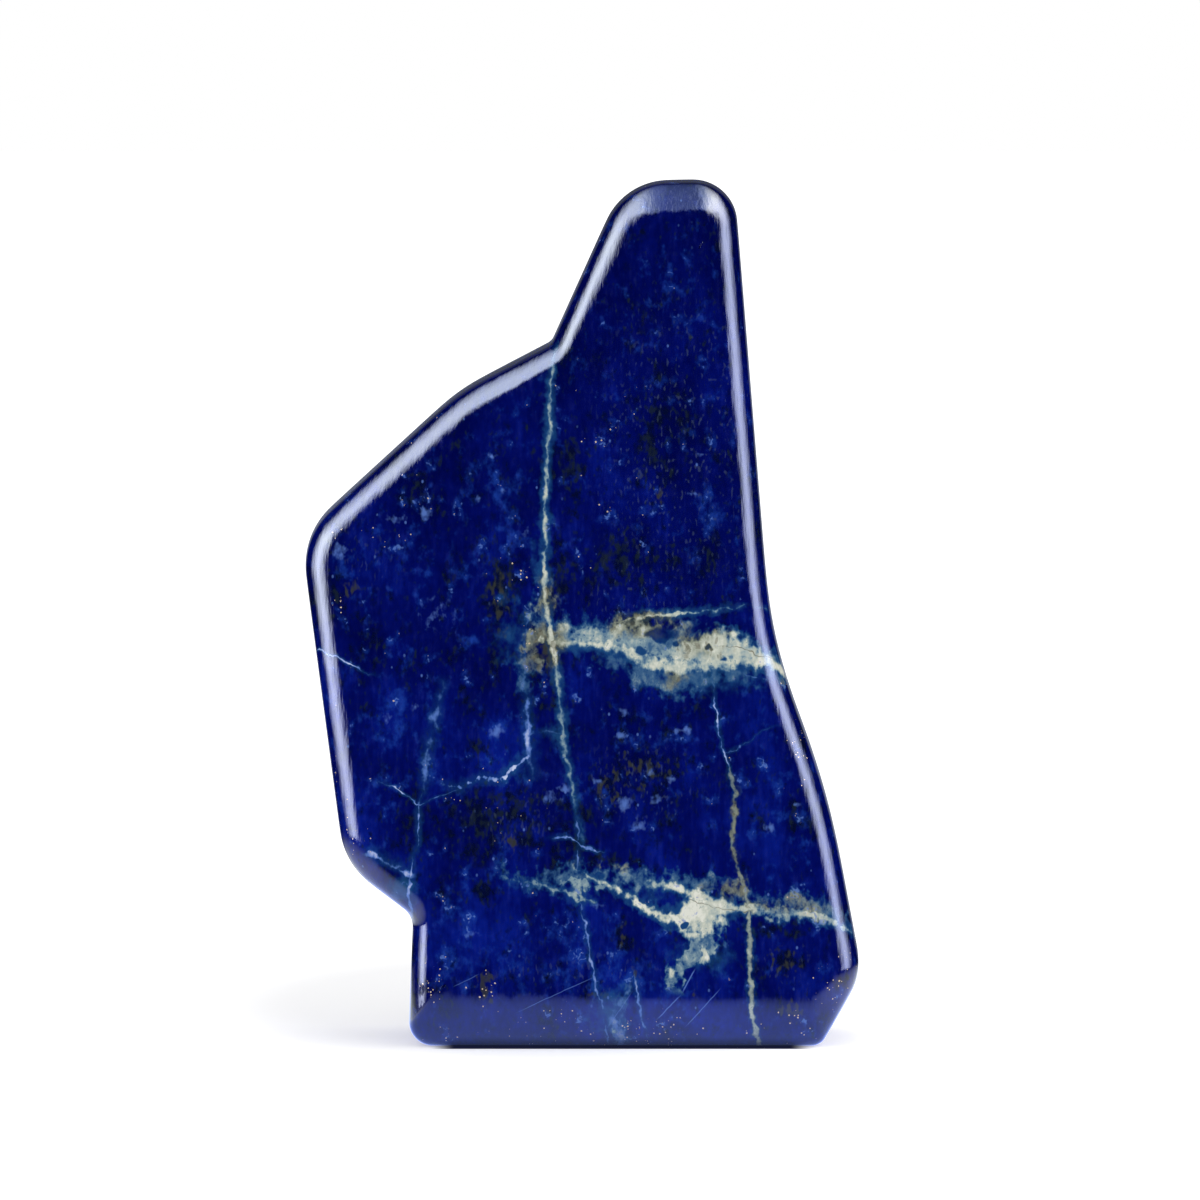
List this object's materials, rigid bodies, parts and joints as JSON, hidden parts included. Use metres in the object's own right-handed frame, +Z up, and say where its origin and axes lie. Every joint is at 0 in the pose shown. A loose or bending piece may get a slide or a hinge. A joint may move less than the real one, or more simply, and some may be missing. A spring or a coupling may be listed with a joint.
{
  "type": "polished lapis lazuli freeform",
  "caption": "Upright freeform slab of deep blue lapis lazuli with cream calcite veins and pyrite flecks, polished all over, standing on a flat sawn foot.",
  "frame": {"origin": "on the ground under the middle of the stone's bounding box", "axes": "+Z up along the stone's height, +X along its width to the viewer's right, and the show face looks towards -Y through its thickness"},
  "size_m": [0.077, 0.0296, 0.1198],
  "materials": {
    "lapis": "polished"
  },
  "bodies": {
    "root": {"stone": "lapis"}
  },
  "joints": []
}
